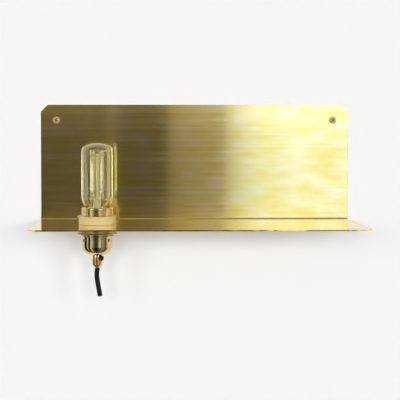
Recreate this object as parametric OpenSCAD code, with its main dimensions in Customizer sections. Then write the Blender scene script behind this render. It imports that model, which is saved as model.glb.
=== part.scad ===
// Wall lamp with a shelf: one bent brass sheet is the back plate and the shelf. A threaded
// lampholder stands in a hole in the shelf, clamped between two shade rings, and holds a
// tubular bulb. A short fabric-covered cord leaves the cord grip below it.
// The origin is on the wall, midway between the two wall screws. X runs right, the front faces
// -Y and Z points up. Sizes are in millimetres.

/* [Shelf bracket] */
// Width of the bent sheet
sheet_w = 400; // [260:5:800]
// Height of the back plate, with the shelf's thickness
plate_h = 150; // [140:5:300]
// Depth of the shelf, with the plate's thickness
shelf_d = 150; // [125:5:300]
// Thickness of the sheet
sheet_t = 1.5; // [1:0.25:3]
// Inside radius of the bend
bend_r = 1.5; // [0.5:0.25:5]
// Length that each cut corner takes off an edge
corner_cut = 9; // [2:1:20]

/* [Wall screws] */
// Distance of each screw from the side edge and from the top edge
screw_edge = 20; // [16:1:40]
// Diameter of a screw's shank and of its thread
screw_d = 4; // [3:0.5:5]
// Diameter of a screw's head
screw_head_d = 9.2; // [8:0.2:12]
// Height of a screw's head
screw_head_h = 2.6; // [2:0.1:4]
// Length of a screw below its head
screw_len = 35; // [25:5:60]

/* [Lampholder outside] */
// Distance of the lampholder's axis from the sheet's left edge
lamp_edge = 76.5; // [45:0.5:180]
// Distance of the lampholder's axis from the wall
lamp_wall = 72.5; // [45:0.5:90]
// Outer diameter of the skirt's thread
skirt_d = 39.2; // [39:0.1:42]
// Thickness of the skirt's wall at the bottom of the thread
skirt_wall = 0.9; // [0.7:0.1:1.2]
// Pitch of the skirt's thread
skirt_pitch = 1.5; // [1:0.25:2]
// Depth of the skirt's thread
skirt_thread = 0.5; // [0.3:0.05:0.6]
// Height of the skirt above the shelf
skirt_up = 20.5; // [18:0.5:26]
// Length of the skirt below the lower ring
skirt_tail = 1.7; // [1:0.1:4]
// Height of a shade ring
ring_h = 10.3; // [8:0.1:12]
// Diameter of a shade ring's band
ring_d = 45.3; // [44:0.1:50]
// Diameter of a shade ring's lip
lip_d = 48.3; // [47:0.1:56]
// Height of a shade ring's lip
lip_h = 1.2; // [0.8:0.1:2]
// Diameter of the cap below its bead
cap_d = 37.5; // [37.5:0.1:39]
// Thickness of the cap's wall
cap_wall = 1.6; // [1.5:0.1:1.8]
// Height of the cap below the skirt
cap_h = 24.4; // [24:0.2:32]
// Outer radius where the cap's wall turns into its floor
cap_round = 11; // [6:0.5:11]
// Diameter of the bead round the cap's top
bead_d = 40.4; // [40.2:0.1:43]
// Height of that bead
bead_h = 1.3; // [1:0.1:2]
// Length of the cap's neck inside the skirt
neck_h = 4.5; // [3:0.5:6]
// Diameter of a lock screw's head
lock_head_d = 4.2; // [3.6:0.1:5]
// Diameter of a lock screw's thread
lock_d = 3; // [2.5:0.1:3.2]
// Angle of each lock screw from the front, seen from above
lock_angle = 54; // [30:1:75]
// Distance of the lock screws below the skirt
lock_drop = 5.8; // [4.5:0.1:7]

/* [Lampholder inside] */
// Depth of the bulb's contact below the skirt's rim
contact_depth = 32; // [31:0.5:34]
// Height of the room for the contact spring
spring_room = 3; // [2.4:0.1:3.5]
// Thickness of the ceramic floor
floor_t = 7; // [6:0.5:8]
// Height of the ceramic collar above that floor
collar_h = 8; // [5:0.5:9]
// Depth of the recess for the terminals
recess_h = 4.5; // [4:0.5:5.5]
// Diameter of that recess
recess_d = 29.2; // [28.5:0.1:29.4]
// Outer diameter of the screw shell
shell_d = 28.4; // [28:0.1:28.8]
// Height of the screw shell
shell_h = 23.5; // [20:0.5:25]
// Width of a terminal block
block_w = 5.5; // [4.5:0.1:6]
// Height of a terminal block
block_h = 6; // [5.5:0.1:6.5]
// Diameter of a terminal screw
clamp_d = 3; // [2.5:0.1:3]
// Diameter of a rivet
rivet_d = 2; // [1.6:0.1:2.2]
// Thickness of the contact strips
strip_t = 0.5; // [0.3:0.05:0.6]

/* [Cord grip and cord] */
// Diameter of the cord grip
grip_d = 12.6; // [12:0.1:16]
// Length of the cord grip below the cap
grip_h = 16.1; // [12:0.1:20]
// Diameter of the grip's mouth
mouth_d = 7.2; // [7.2:0.1:9]
// Length of the taper above the mouth
taper_h = 4; // [2:0.5:5]
// Diameter of the grip's threaded stub
stub_d = 10; // [9.6:0.1:10.5]
// Diameter of the cord
cord_d = 6; // [5:0.1:6.2]
// Distance of the grip's knob below the cap
knob_drop = 3.6; // [3.6:0.1:6.5]
// Angle of the knob to the right of the front, seen from above
knob_angle = 40; // [0:5:90]
// Diameter of the knob
knob_d = 6.5; // [5.5:0.1:6.6]
// Thickness of the knob
knob_t = 2.6; // [2:0.1:4]
// Diameter of the knob's screw
grip_screw_d = 3; // [2.5:0.1:3.5]

/* [Bulb] */
// Diameter of the bulb
bulb_d = 38.8; // [36:0.2:42]
// Length of the bulb with its cap
bulb_l = 112; // [100:1:150]
// Height of the rounded top
dome_h = 12.2; // [9:0.2:18]
// Thickness of the glass
glass_t = 0.9; // [0.6:0.1:1.2]
// Diameter of the neck inside the bulb's cap
bulb_neck_d = 22.8; // [22:0.1:23]
// Diameter of the stem's tube
stem_d = 9.6; // [8:0.2:12]
// Diameter of the glass rod
rod_d = 3; // [2:0.1:4]
// Diameter of the ring that the upper wires reach
cage_d = 20; // [16:0.5:26]
// Number of upper wires
cage_count = 6; // [4:1:8]
// Diameter of the support wires
wire_d = 0.6; // [0.4:0.1:0.8]
// Diameter of the filament
filament_d = 0.24; // [0.2:0.02:0.3]

/* [Hidden] */
$fn = 64;

// Clearances: screwed and pushed together, a shaft that turns in its hole, round wires, threads
fit_gap = 0.1;
run_gap = 0.05;
hole_gap = 0.25;
spring_gap = 0.15;
over = 1; // how far a cutting solid runs past what it cuts

// The sheet
sheet_top = screw_edge;
shelf_z = sheet_top - plate_h + sheet_t;
screw_x = sheet_w / 2 - screw_edge;
shelf_hole_d = skirt_d + 2 * hole_gap;

// Wall screw details
screw_core_d = screw_d - 1.2;
screw_neck_d = screw_d + 1; // fills the sheet's hole, down to the wall
screw_pitch = 1.8;
screw_plain = 8;
screw_tip = 6;
recess_w = 1.1;
recess_l = 0.55 * screw_head_d;
recess_depth = 1.7;
head_edge = 0.8;

// Heights of the lampholder, above the shelf
lower_ring_z = -sheet_t - ring_h;
skirt_z = lower_ring_z - skirt_tail;
contact_z = skirt_up - contact_depth;
ceramic_floor_z = contact_z - spring_room;
ceramic_under_z = ceramic_floor_z - floor_t;
ledge_z = ceramic_under_z - recess_h;
collar_z = ceramic_floor_z + collar_h;
cap_z = skirt_z - cap_h;
cap_inside_z = cap_z + cap_wall;
grip_z = cap_z - grip_h;

// Radii of the lampholder
skirt_root_r = skirt_d / 2 - skirt_thread;
skirt_in_r = skirt_root_r - skirt_wall;
cap_in_r = cap_d / 2 - cap_wall;
ceramic_r = cap_in_r - fit_gap;
recess_r = recess_d / 2;
ledge_r = recess_r + 0.4;
shoulder_t = 1.5;
rim_round = 1.6;
rim_edge = 0.3;
boss_r = stub_d / 2 + 2.5;
boss_h = 4.2;
bore_r = cord_d / 2 + 0.2;
socket_r = shell_d / 2 + 0.2;
knob_air = 0.6; // between the grip and its knob
cord_end_z = cap_inside_z + boss_h + 0.5;

// Screw thread between the bulb and the shell, the usual 27 mm one
thread_pitch = 3.629;
thread_amp = 0.5;
bulb_thread_r = 12.65;
shell_thread_r = 13;
thread_sides = 36;
thread_steps = 8; // rings in one pitch
bulb_thread_z = contact_z + 4.5;
bulb_thread_h = 16;
shell_thread_z = bulb_thread_z - 1;
shell_thread_h = bulb_thread_h - 1.5;
thread_end = 1;
cap_rim = 0.9; // the plain rim of the bulb's cap stands this share of the depth proud

// Contacts and terminals
rivet_r = rivet_d / 2;
contact_rivet_at = 7;
rivet_head_t = 0.5;
rivet_head_r = rivet_r + 0.5;
shell_rivet_at = shell_thread_r + thread_amp - rivet_head_r - fit_gap;
flange_in_r = shell_rivet_at - rivet_head_r;
rivet_depth = 2;
block_from = 4.5;
block_to = 12;
neutral_to = shell_rivet_at + rivet_r + 0.5;
clamp_at = 9.8;
neutral_clamp_at = 7.6;
wire_hole_d = 2;
wire_hole_up = 2.4; // height of the wire's hole above the block's underside
core_d = 1.9;
copper_d = 1.2;

// Bulb
bulb_cap_h = 27;
bulb_cap_z = contact_z + bulb_cap_h;
bulb_top = contact_z + bulb_l;
dome_z = bulb_top - dome_h;
bulb_r = bulb_d / 2;
bulb_neck_r = bulb_neck_d / 2;
shoulder_h = 17;
shoulder_z = bulb_cap_z + shoulder_h;
shoulder_power = 0.9;
glass_in_cap = 12;
glass_z = bulb_cap_z - glass_in_cap;
button_r = 4.75;
button_t = 0.5;
insulator_z = contact_z + button_t;
insulator_h = 2.8;
insulator_r = bulb_thread_r - thread_amp - 1.4;
insulator_lip = 1.2; // height of its top inside the screw cap
stem_drop = 3.5;
stem_z = shoulder_z - stem_drop;
pinch_h = 4;
rod_z = stem_z + pinch_h;
rod_drop = 1.8;
rod_top = dome_z - rod_drop;
cage_drop = 3;
cage_z = rod_top - cage_drop;
lower_cage_up = 5;
lower_cage_z = rod_z + lower_cage_up;
lead_out_r = 12;
lead_up = 12;
lead_z = rod_z + lead_up;
lead_gap = 2.3;
button_h = 2;
button_out_r = rod_d / 2 + 0.7;
wire_in_r = 1;
wire_step = 360 / (cage_count + 1); // angle between two hooks of the cage

// The cord's route below the cap, from inside the grip's mouth to the cut end: offset to the
// right of the axis, offset to the back, distance below the cap's floor
cord_route = [
    [0, 0, 13], [0, 0, 16], [-0.2, 0, 19], [-0.5, 0, 22], [-0.6, 0, 24.5],
    [-0.5, 0, 27], [-0.3, 0, 29.5], [0.1, 0, 32], [0.5, 0, 34.5], [0.9, 0, 37],
    [1.3, 0, 39.5], [1.8, 0, 42], [2.3, 0, 45], [2.8, 0, 48], [3.3, 0, 51]
];

// Colours
brass = [0.80, 0.64, 0.30];
polished = [0.86, 0.72, 0.38];
steel = [0.62, 0.64, 0.66];
copper = [0.78, 0.45, 0.28];
ceramic = [0.93, 0.92, 0.88];
black = [0.05, 0.05, 0.05];
glass = [0.86, 0.82, 0.62, 0.4];

// ---- Helpers ----

function clamp01(v) = min(1, max(0, v));
function unit(v) = v / norm(v);

// Puts a lampholder piece on its axis, with z = 0 at the top of the shelf
module at_lamp() {
    translate([lamp_edge - sheet_w / 2, -lamp_wall, shelf_z]) children();
}

// A round tube along a route. Each ring lies across the route, and turns as little as it can
function way(p, i) = unit(p[min(i + 1, len(p) - 1)] - p[max(i - 1, 0)]);
function side_start(t) = unit(cross(t, abs(t[1]) < 0.9 ? [0, 1, 0] : [1, 0, 0]));
function side_next(s, t) = unit(s - (s * t) * t);
function sides_of(p) = [
    for (i = 0, s = side_start(way(p, 0)); i < len(p);
         i = i + 1, s = i < len(p) ? side_next(s, way(p, i)) : s) s
];
function ring_at(c, t, s, r, n) = [
    for (k = [0:n - 1]) c + r * (cos(360 * k / n) * s + sin(360 * k / n) * cross(t, s))
];

module route_tube(p, r, n) {
    s = sides_of(p);
    points = [for (i = [0:len(p) - 1]) each ring_at(p[i], way(p, i), s[i], r, n)];
    skin = [
        for (i = [0:len(p) - 2], k = [0:n - 1])
            each [
                [i * n + k, (i + 1) * n + k, i * n + (k + 1) % n],
                [i * n + (k + 1) % n, (i + 1) * n + k, (i + 1) * n + (k + 1) % n]
            ]
    ];
    start = [[for (k = [0:n - 1]) k]];
    end = [[for (k = [n - 1:-1:0]) (len(p) - 1) * n + k]];
    polyhedron(points, concat(skin, start, end));
}

// A solid with a rounded screw thread. At its foot the thread fades to foot times its depth and
// at its top to top times its depth, as it does on a rolled sheet shell. It runs on as a cone or
// a cylinder to the height and radius that low and high give
module thread_rod(r, z, h, foot, top, low, high) {
    rings = ceil(h / thread_pitch * thread_steps);
    n = thread_sides;
    heights = [low[0], for (i = [0:rings]) z + i * h / rings, high[0]];
    last = len(heights) - 1;
    points = [
        for (i = [0:last], k = [0:n - 1])
            let (
                a = 360 * k / n,
                up = heights[i] - z,
                fade_in = clamp01(up / thread_end),
                fade_out = clamp01((h - up) / thread_end),
                wave = fade_in * fade_out * cos(360 * heights[i] / thread_pitch - a),
                threaded = r + thread_amp * (wave + foot * (1 - fade_in) + top * (1 - fade_out)),
                rr = i == 0 ? low[1] : i == last ? high[1] : threaded
            )
            [rr * cos(a), rr * sin(a), heights[i]]
    ];
    skin = [
        for (i = [0:last - 1], k = [0:n - 1])
            each [
                [i * n + k, (i + 1) * n + k, i * n + (k + 1) % n],
                [i * n + (k + 1) % n, (i + 1) * n + k, (i + 1) * n + (k + 1) % n]
            ]
    ];
    start = [[for (k = [0:n - 1]) k]];
    end = [[for (k = [n - 1:-1:0]) last * n + k]];
    polyhedron(points, concat(skin, start, end));
}

// ---- Sheet and wall screws ----

// The wedge that a cut corner takes away, in the plane of the sheet, pointing to +X +Y
module corner_wedge() {
    translate([0, 0, -over]) linear_extrude(sheet_t + 2 * over)
        polygon([[-corner_cut, over], [-corner_cut, 0], [0, -corner_cut],
                 [over, -corner_cut], [over, over]]);
}

module corner_wedges() {
    for (side = [0, 1]) mirror([side, 0, 0]) {
        translate([sheet_w / 2, 0, sheet_top]) rotate([90, 0, 0]) corner_wedge();
        translate([sheet_w / 2, -shelf_d, shelf_z - sheet_t]) mirror([0, 1, 0]) corner_wedge();
    }
}

module shelf_bracket() {
    outer_r = bend_r + sheet_t;
    low = shelf_z - sheet_t;
    color(brass) difference() {
        union() {
            translate([-sheet_w / 2, -sheet_t, low]) cube([sheet_w, sheet_t, plate_h]);
            translate([-sheet_w / 2, -shelf_d, low]) cube([sheet_w, shelf_d, sheet_t]);
            translate([-sheet_w / 2, -sheet_t - bend_r, shelf_z])
                cube([sheet_w, bend_r, bend_r]);
        }
        translate([-sheet_w / 2 - over, -sheet_t - bend_r, shelf_z + bend_r])
            rotate([0, 90, 0]) cylinder(r = bend_r, h = sheet_w + 2 * over);
        difference() {
            translate([-sheet_w / 2 - over, -outer_r, low - over])
                cube([sheet_w + 2 * over, outer_r + over, outer_r + over]);
            translate([-sheet_w / 2 - 2 * over, -outer_r, low + outer_r])
                rotate([0, 90, 0]) cylinder(r = outer_r, h = sheet_w + 4 * over);
        }
        for (side = [-1, 1])
            translate([side * screw_x, over, 0])
                rotate([90, 0, 0])
                    cylinder(d = screw_neck_d + 2 * fit_gap, h = sheet_t + 2 * over);
        at_lamp() translate([0, 0, -sheet_t - over])
            cylinder(d = shelf_hole_d, h = sheet_t + 2 * over);
        corner_wedges();
    }
}

module wall_screw() {
    dome_r = (pow(screw_head_d / 2, 2) + pow(screw_head_h - head_edge, 2))
        / (2 * (screw_head_h - head_edge));
    ridges = floor((screw_len - screw_plain - screw_tip) / screw_pitch);
    neck_r = screw_neck_d / 2;
    shank_r = screw_d / 2;
    core_r = screw_core_d / 2;
    difference() {
        union() {
            intersection() {
                cylinder(d = screw_head_d, h = screw_head_h);
                translate([0, 0, screw_head_h - dome_r]) sphere(r = dome_r);
            }
            rotate_extrude() polygon(concat(
                [[0, over / 2], [neck_r, over / 2], [neck_r, -sheet_t],
                 [shank_r, -sheet_t], [shank_r, -screw_plain]],
                [for (i = [0:ridges - 1])
                    each [[core_r, -screw_plain - (i + 0.35) * screw_pitch],
                          [shank_r, -screw_plain - (i + 0.65) * screw_pitch]]],
                [[core_r, -screw_len + screw_tip], [0, -screw_len]]
            ));
        }
        for (turn = [0, 90]) rotate(turn)
            translate([-recess_l / 2, -recess_w / 2, screw_head_h - recess_depth])
                cube([recess_l, recess_w, recess_depth + over]);
    }
}

module wall_screws() {
    color(polished) for (side = [-1, 1])
        translate([side * screw_x, -sheet_t, 0]) rotate([90, 0, 0]) wall_screw();
}

// ---- Outside of the lampholder ----

// A shade ring with its lip at the top and its foot at z = 0
module shade_ring() {
    in_r = skirt_d / 2 + fit_gap;
    band_r = ring_d / 2;
    lip_r = lip_d / 2;
    edge = 0.4;
    rotate_extrude() polygon([
        [in_r, 0], [band_r - edge, 0], [band_r, edge], [band_r, ring_h - lip_h - edge],
        [lip_r - edge, ring_h - lip_h], [lip_r, ring_h - lip_h / 2], [lip_r - edge, ring_h],
        [in_r + edge, ring_h], [in_r, ring_h - edge]
    ]);
}

module upper_shade_ring() {
    color(brass) at_lamp() shade_ring();
}

module lower_shade_ring() {
    color(brass) at_lamp() translate([0, 0, -sheet_t]) mirror([0, 0, 1]) shade_ring();
}

module threaded_skirt() {
    ridges = floor((skirt_up - skirt_z - rim_round - skirt_pitch) / skirt_pitch);
    crest_r = skirt_d / 2;
    rim_r = skirt_in_r + rim_edge;
    stop_z = collar_z + fit_gap;
    stop_r = socket_r + 0.4;
    color(polished) at_lamp() rotate_extrude() polygon(concat(
        [[skirt_in_r, skirt_z], [skirt_root_r, skirt_z]],
        [for (i = [0:ridges - 1])
            each [[skirt_root_r, skirt_z + (i + 0.3) * skirt_pitch],
                  [crest_r, skirt_z + (i + 0.65) * skirt_pitch],
                  [crest_r, skirt_z + (i + 0.75) * skirt_pitch]]],
        [[skirt_root_r, skirt_up - rim_round - skirt_pitch / 2],
         [skirt_root_r, skirt_up - rim_round]],
        [for (a = [20:20:80])
            [rim_r + (skirt_root_r - rim_r) * cos(a),
             skirt_up - rim_round + rim_round * sin(a)]],
        [[rim_r, skirt_up], [skirt_in_r, skirt_up - rim_edge],
         [skirt_in_r, stop_z + shoulder_t], [stop_r, stop_z + shoulder_t],
         [stop_r, stop_z], [skirt_in_r, stop_z]]
    ));
}

module lock_screw_places() {
    for (side = [-1, 1]) rotate(-90 + side * lock_angle)
        translate([0, 0, skirt_z - lock_drop]) rotate([0, 90, 0]) children();
}

module holder_cap() {
    inside_round = cap_round - cap_wall;
    neck_r = skirt_in_r - fit_gap;
    bead_r = bead_d / 2;
    bead_edge = 0.3;
    color(polished) at_lamp() difference() {
        rotate_extrude() polygon(concat(
            [[0, cap_z]],
            [for (a = [-90:10:0])
                [cap_d / 2 - cap_round + cap_round * cos(a),
                 cap_z + cap_round + cap_round * sin(a)]],
            [[cap_d / 2, skirt_z - bead_h], [bead_r - bead_edge, skirt_z - bead_h],
             [bead_r, skirt_z - bead_h / 2], [bead_r - bead_edge, skirt_z],
             [neck_r, skirt_z], [neck_r, skirt_z + neck_h],
             [cap_in_r, skirt_z + neck_h], [cap_in_r, ledge_z], [ledge_r, ledge_z]],
            [for (a = [0:-10:-90])
                [ledge_r - inside_round + inside_round * cos(a),
                 cap_inside_z + inside_round + inside_round * sin(a)]],
            [[boss_r, cap_inside_z], [boss_r, cap_inside_z + boss_h],
             [0, cap_inside_z + boss_h]]
        ));
        translate([0, 0, cap_z - over])
            cylinder(d = stub_d + 2 * run_gap, h = cap_wall + boss_h + 2 * over);
        lock_screw_places() cylinder(d = lock_d + 2 * run_gap, h = cap_d);
    }
}

module cap_lock_screws() {
    head_t = 1;
    slot_w = 0.7;
    tip = ceramic_r + fit_gap;
    color(steel) at_lamp() lock_screw_places() difference() {
        union() {
            translate([0, 0, tip]) cylinder(d = lock_d, h = cap_d / 2 - tip);
            translate([0, 0, cap_d / 2]) cylinder(d = lock_head_d, h = head_t);
        }
        translate([-lock_head_d, -slot_w / 2, cap_d / 2 + head_t / 2])
            cube([2 * lock_head_d, slot_w, head_t]);
    }
}

// ---- Inside of the lampholder ----

module rivet_holes(at, angles) {
    for (a = angles) rotate(a) translate([at, 0, ceramic_under_z - over])
        cylinder(r = rivet_r + run_gap, h = floor_t + 2 * over);
}

module ceramic_insert() {
    color(ceramic) at_lamp() difference() {
        translate([0, 0, ledge_z]) cylinder(r = ceramic_r, h = collar_z - ledge_z);
        translate([0, 0, ceramic_floor_z]) cylinder(r = socket_r, h = collar_h + over);
        translate([0, 0, ledge_z - over]) cylinder(r = recess_r, h = recess_h + over);
        rivet_holes(shell_rivet_at, [0, -90]);
        rivet_holes(contact_rivet_at, [90, 180]);
        translate([-block_w / 2, 0, ledge_z - over])
            cube([block_w, cap_d / 2, recess_h + over]);
    }
}

module screw_shell() {
    clear_r = shell_thread_r + thread_amp;
    floor_z = ceramic_floor_z + strip_t;
    color(copper) at_lamp() difference() {
        translate([0, 0, ceramic_floor_z]) cylinder(d = shell_d, h = shell_h);
        translate([0, 0, ceramic_floor_z - over]) cylinder(r = flange_in_r, h = 3 * over);
        thread_rod(shell_thread_r, shell_thread_z, shell_thread_h, 1, 1,
            [floor_z, clear_r], [ceramic_floor_z + shell_h + over, clear_r]);
        for (a = [0, -90]) rotate(a) translate([shell_rivet_at, 0, ceramic_floor_z - over])
            cylinder(r = rivet_r + run_gap, h = strip_t + 2 * over);
    }
}

// A rivet from a strip on the ceramic floor down into a terminal block
module rivet(reach) {
    translate([0, 0, ceramic_under_z - reach])
        cylinder(r = rivet_r, h = floor_t + reach + strip_t);
    translate([0, 0, ceramic_floor_z + strip_t]) cylinder(r = rivet_head_r, h = rivet_head_t);
}

module shell_rivets() {
    color(brass) at_lamp() {
        translate([shell_rivet_at, 0, 0]) rivet(rivet_depth);
        translate([0, -shell_rivet_at, 0]) {
            rivet(rivet_head_t);
            translate([0, 0, ceramic_under_z - rivet_head_t])
                cylinder(r = rivet_head_r, h = rivet_head_t);
        }
    }
}

module contact_rivets() {
    color(brass) at_lamp() {
        translate([-contact_rivet_at, 0, 0]) rivet(rivet_depth);
        translate([0, contact_rivet_at, 0]) {
            translate([0, 0, ceramic_under_z - strip_t - rivet_depth])
                cylinder(r = rivet_r, h = floor_t + strip_t + rivet_depth);
            translate([0, 0, ceramic_floor_z]) cylinder(r = rivet_head_r, h = rivet_head_t);
        }
    }
}

// The springy strip under the bulb: flat at its rivet, then up to the bulb's contact
module centre_contact() {
    w = 4.6;
    foot = contact_rivet_at + rivet_r + 0.6;
    bend = contact_rivet_at - rivet_head_r - 0.3;
    top = contact_z - spring_gap;
    base = ceramic_floor_z;
    color(copper) at_lamp() difference() {
        translate([0, w / 2, 0]) rotate([90, 0, 0]) linear_extrude(w) polygon([
            [-foot, base], [-bend + strip_t / 3, base], [-1.8, top - strip_t], [3, top - strip_t],
            [4.6, top - 1.5], [4.9, top - 1.1], [3.3, top], [-2, top],
            [-bend, base + strip_t], [-foot, base + strip_t]
        ]);
        translate([-contact_rivet_at, 0, base - over])
            cylinder(r = rivet_r + run_gap, h = 2 * over);
    }
}

// A brass block under the ceramic floor, along +X from the middle, with the wire's hole, the
// hole of its clamping screw and the hole of its rivet
module terminal_block(top, to, rivet_at, screw_at) {
    under = top - block_h;
    difference() {
        translate([block_from, -block_w / 2, under]) cube([to - block_from, block_w, block_h]);
        translate([block_from - over, 0, under + wire_hole_up]) rotate([0, 90, 0])
            cylinder(d = wire_hole_d, h = to - block_from + over - 1);
        translate([screw_at, 0, under - over])
            cylinder(d = clamp_d + 2 * run_gap, h = wire_hole_up + over);
        translate([rivet_at, 0, top - rivet_depth])
            cylinder(r = rivet_r + run_gap, h = rivet_depth + over);
    }
}

module live_terminal() {
    color(brass) at_lamp() rotate(180)
        terminal_block(ceramic_under_z, block_to, contact_rivet_at, clamp_at);
}

module neutral_terminal() {
    color(brass) at_lamp()
        terminal_block(ceramic_under_z, neutral_to, shell_rivet_at, neutral_clamp_at);
}

module earth_terminal() {
    color(brass) at_lamp() rotate(90)
        terminal_block(ceramic_under_z - strip_t, block_to, contact_rivet_at, clamp_at);
}

// Carries the earth from its block to the cap, through a notch in the ceramic
module earth_strip() {
    w = block_w - 2 * hole_gap;
    reach = cap_in_r - 0.3;
    drop = 3;
    color(copper) at_lamp() difference() {
        union() {
            translate([-w / 2, block_from, ceramic_under_z - strip_t])
                cube([w, reach - block_from, strip_t]);
            translate([-w / 2, reach - strip_t, ceramic_under_z - drop])
                cube([w, strip_t, drop]);
        }
        translate([0, contact_rivet_at, ceramic_under_z - over])
            cylinder(r = rivet_r + run_gap, h = 2 * over);
    }
}

module clamp_screw(top) {
    slot_w = 0.6;
    slot_depth = 0.7;
    length = 2.2;
    tip = top - block_h + wire_hole_up - copper_d / 2 - 0.05;
    difference() {
        translate([0, 0, tip - length]) cylinder(d = clamp_d, h = length);
        translate([-clamp_d, -slot_w / 2, tip - length - over])
            cube([2 * clamp_d, slot_w, slot_depth + over]);
    }
}

module terminal_screws() {
    color(steel) at_lamp() {
        translate([-clamp_at, 0, 0]) clamp_screw(ceramic_under_z);
        translate([neutral_clamp_at, 0, 0]) clamp_screw(ceramic_under_z);
        translate([0, clamp_at, 0]) clamp_screw(ceramic_under_z - strip_t);
    }
}

// ---- Cord grip and cord ----

module at_knob() {
    rotate(-90 + knob_angle) translate([0, 0, cap_z - knob_drop]) rotate([0, 90, 0]) children();
}

module cord_grip() {
    stub_top = cap_inside_z + boss_h - 0.4;
    edge = 0.5;
    color(polished) at_lamp() difference() {
        rotate_extrude() polygon([
            [0, grip_z], [mouth_d / 2, grip_z], [grip_d / 2, grip_z + taper_h],
            [grip_d / 2, cap_z - edge], [grip_d / 2 - edge, cap_z],
            [stub_d / 2, cap_z], [stub_d / 2, stub_top], [0, stub_top]
        ]);
        translate([0, 0, grip_z - over]) cylinder(r = bore_r, h = stub_top - grip_z + 2 * over);
        at_knob() cylinder(d = grip_screw_d + 2 * run_gap, h = grip_d);
    }
}

module grip_screw() {
    tip = cord_d / 2 + spring_gap;
    color(steel) at_lamp() at_knob() translate([0, 0, tip])
        cylinder(d = grip_screw_d, h = grip_d / 2 + knob_air + knob_t / 2 - tip);
}

module grip_knob() {
    edge = 0.5;
    color(black) at_lamp() at_knob() translate([0, 0, grip_d / 2 + knob_air])
        difference() {
            rotate_extrude() polygon([
                [0, 0], [knob_d / 2 - edge, 0], [knob_d / 2, edge],
                [knob_d / 2, knob_t - 2 * edge], [knob_d / 2 - edge / 2, knob_t - edge],
                [knob_d / 2 - 2 * edge, knob_t], [0, knob_t]
            ]);
            translate([0, 0, -over])
                cylinder(d = grip_screw_d + 2 * run_gap, h = knob_t / 2 + over);
        }
}

module cord_in_grip() {
    color(black) at_lamp() translate([0, 0, cap_z - cord_route[0][2]])
        cylinder(d = cord_d, h = cord_end_z - cap_z + cord_route[0][2]);
}

module cord_free() {
    route = [for (p = cord_route) [p[0], p[1], cap_z - p[2]]];
    color(black) at_lamp() route_tube(route, cord_d / 2, 12);
}

// One insulated core from the cord's end to its terminal, with a bare copper tip
module core(turn, top) {
    hole_z = top - block_h + wire_hole_up;
    start_r = 1.35;
    bare_l = 6.4;
    bend = [
        [start_r, 0, cord_end_z], [start_r, 0, cord_end_z + 1.5],
        [start_r + 0.1, 0, hole_z - 1.6], [start_r + 0.6, 0, hole_z - 0.6],
        [start_r + 1.5, 0, hole_z], [block_from - 0.2, 0, hole_z]
    ];
    rotate(turn) {
        route_tube(bend, core_d / 2, 8);
        translate([block_from - 0.2, 0, hole_z]) rotate([0, 90, 0])
            cylinder(d = copper_d, h = bare_l);
    }
}

module live_core() {
    color("sienna") at_lamp() core(180, ceramic_under_z);
}

module neutral_core() {
    color("steelblue") at_lamp() core(0, ceramic_under_z);
}

module earth_core() {
    color("yellowgreen") at_lamp() core(90, ceramic_under_z - strip_t);
}

// ---- Bulb ----

module bulb_contact() {
    color(steel) at_lamp() translate([0, 0, contact_z]) cylinder(r = button_r, h = button_t);
}

module bulb_insulator() {
    foot_r = button_r + 0.6;
    color(black) at_lamp() translate([0, 0, insulator_z]) difference() {
        union() {
            cylinder(r1 = foot_r, r2 = insulator_r, h = insulator_h);
            translate([0, 0, insulator_h]) cylinder(r = insulator_r, h = insulator_lip);
        }
        translate([0, 0, -over]) cylinder(r = wire_d, h = insulator_h + 3 * over);
    }
}

module bulb_screw_cap() {
    wall = 0.4;
    seat_z = insulator_z + insulator_h;
    rim_r = bulb_thread_r + cap_rim * thread_amp;
    color(brass) at_lamp() difference() {
        thread_rod(bulb_thread_r, bulb_thread_z, bulb_thread_h, -1, cap_rim,
            [seat_z, insulator_r + wall], [bulb_cap_z, rim_r]);
        translate([0, 0, seat_z - over]) cylinder(r = insulator_r + run_gap, h = 3 * over);
        translate([0, 0, seat_z + insulator_lip])
            cylinder(r = bulb_neck_r + fit_gap, h = bulb_cap_h);
    }
}

// Half outline of the bulb, from its neck to the middle of its top
function bulb_side(inset) = concat(
    [[bulb_neck_r - inset, glass_z]],
    [for (i = [0:10]) let (t = i / 10)
        [bulb_neck_r - inset + (bulb_r - bulb_neck_r) * sin(90 * pow(t, shoulder_power)),
         bulb_cap_z + 1 + t * (shoulder_z - bulb_cap_z - 1)]],
    [for (a = [0:7.5:90])
        [(bulb_r - inset) * cos(a), dome_z + (dome_h - inset) * sin(a)]]
);

module bulb_glass() {
    inner = bulb_side(glass_t);
    color(glass) at_lamp() rotate_extrude() polygon(concat(
        bulb_side(0), [for (i = [len(inner) - 1:-1:0]) inner[i]]
    ));
}

// The flared glass tube inside the neck, pinched flat round the two lead wires
module bulb_stem() {
    tube_r = stem_d / 2;
    flare_r = bulb_neck_r - glass_t - 0.05;
    flare_h = 6;
    wall = 1;
    color(glass) at_lamp() difference() {
        union() {
            rotate_extrude() polygon([
                [0, glass_z], [flare_r, glass_z], [flare_r, glass_z + 0.8],
                [tube_r + 1.2, glass_z + flare_h / 2], [tube_r, glass_z + flare_h],
                [tube_r, stem_z], [0, stem_z]
            ]);
            intersection() {
                translate([0, 0, stem_z]) cylinder(r = tube_r, h = pinch_h);
                translate([-tube_r, -1.6, stem_z - over]) cube([stem_d, 3.2, pinch_h + over]);
            }
        }
        translate([0, 0, glass_z - over]) cylinder(r = tube_r - wall, h = stem_z - glass_z);
        translate([0, 0, glass_z - over])
            cylinder(r1 = flare_r - wall, r2 = tube_r - wall, h = flare_h / 2 + over);
        for (side = [-1, 1]) translate([side * lead_gap, 0, stem_z - 2 * over])
            cylinder(d = wire_d + 2 * run_gap, h = pinch_h + 3 * over);
    }
}

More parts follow.
